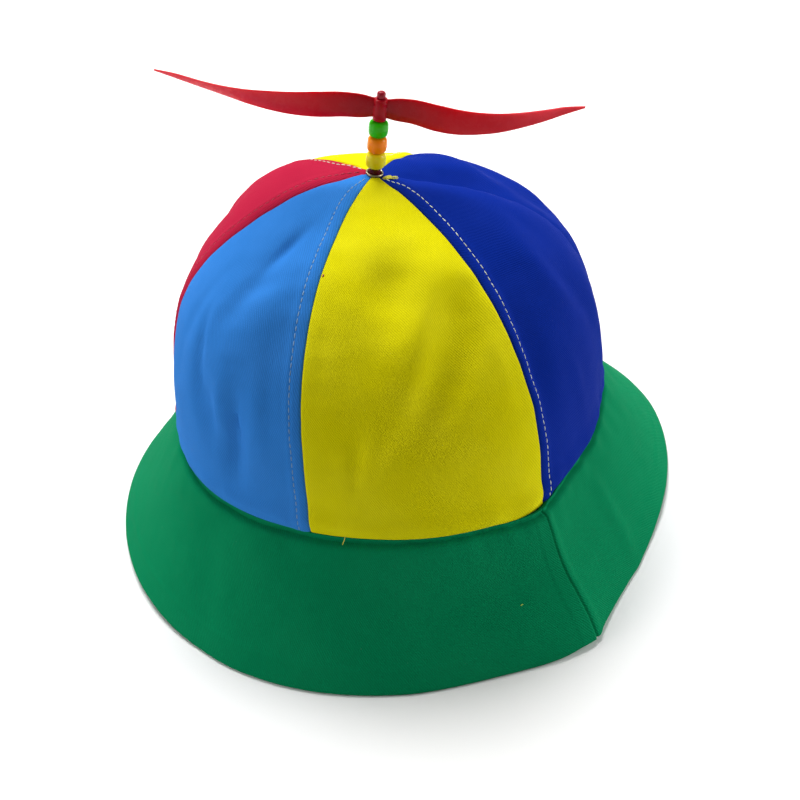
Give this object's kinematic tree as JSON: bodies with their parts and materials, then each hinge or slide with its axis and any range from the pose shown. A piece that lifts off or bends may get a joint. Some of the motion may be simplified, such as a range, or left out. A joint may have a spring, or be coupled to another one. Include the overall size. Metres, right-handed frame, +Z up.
{
  "type": "propeller beanie",
  "caption": "Gored cloth hat with a sloping brim, topped by a free-spinning toy propeller standing on beads over an eyelet.",
  "frame": {"origin": "on the table, under the middle of the hat's outline", "axes": "+Z up, -Y towards the wearer's front gore, +X to the right of someone who looks at that gore"},
  "size_m": [0.2472, 0.2268, 0.1895],
  "materials": {
    "fabric_yellow": "cotton twill, matt",
    "fabric_royal": "cotton twill, matt",
    "fabric_red": "cotton twill, matt",
    "fabric_sky": "cotton twill, matt",
    "fabric_green": "cotton twill, matt",
    "eyelet_metal": "bright, slightly tarnished",
    "axle_plastic": "glossy moulded",
    "bead_yellow": "glossy, slightly translucent",
    "bead_orange": "glossy moulded",
    "bead_green": "glossy moulded",
    "propeller_plastic": "glossy moulded"
  },
  "bodies": {
    "hat": {"panel_front": "fabric_yellow", "panel_front_right": "fabric_royal", "panel_back_right": "fabric_royal", "panel_back": "fabric_yellow", "panel_back_left": "fabric_red", "panel_front_left": "fabric_sky", "brim": "fabric_green", "eyelet": "eyelet_metal", "axle": "axle_plastic", "bead_yellow": "bead_yellow", "bead_orange": "bead_orange", "bead_green": "bead_green"},
    "propeller": {"propeller": "propeller_plastic"}
  },
  "joints": [
    {"name": "propeller_spin", "type": "hinge", "parent": "hat", "child": "propeller", "pos_m": [-0.00581, 0.01677, 0.17505], "axis": [0.1029, -0.0182, 0.9945], "continuous": true}
  ]
}
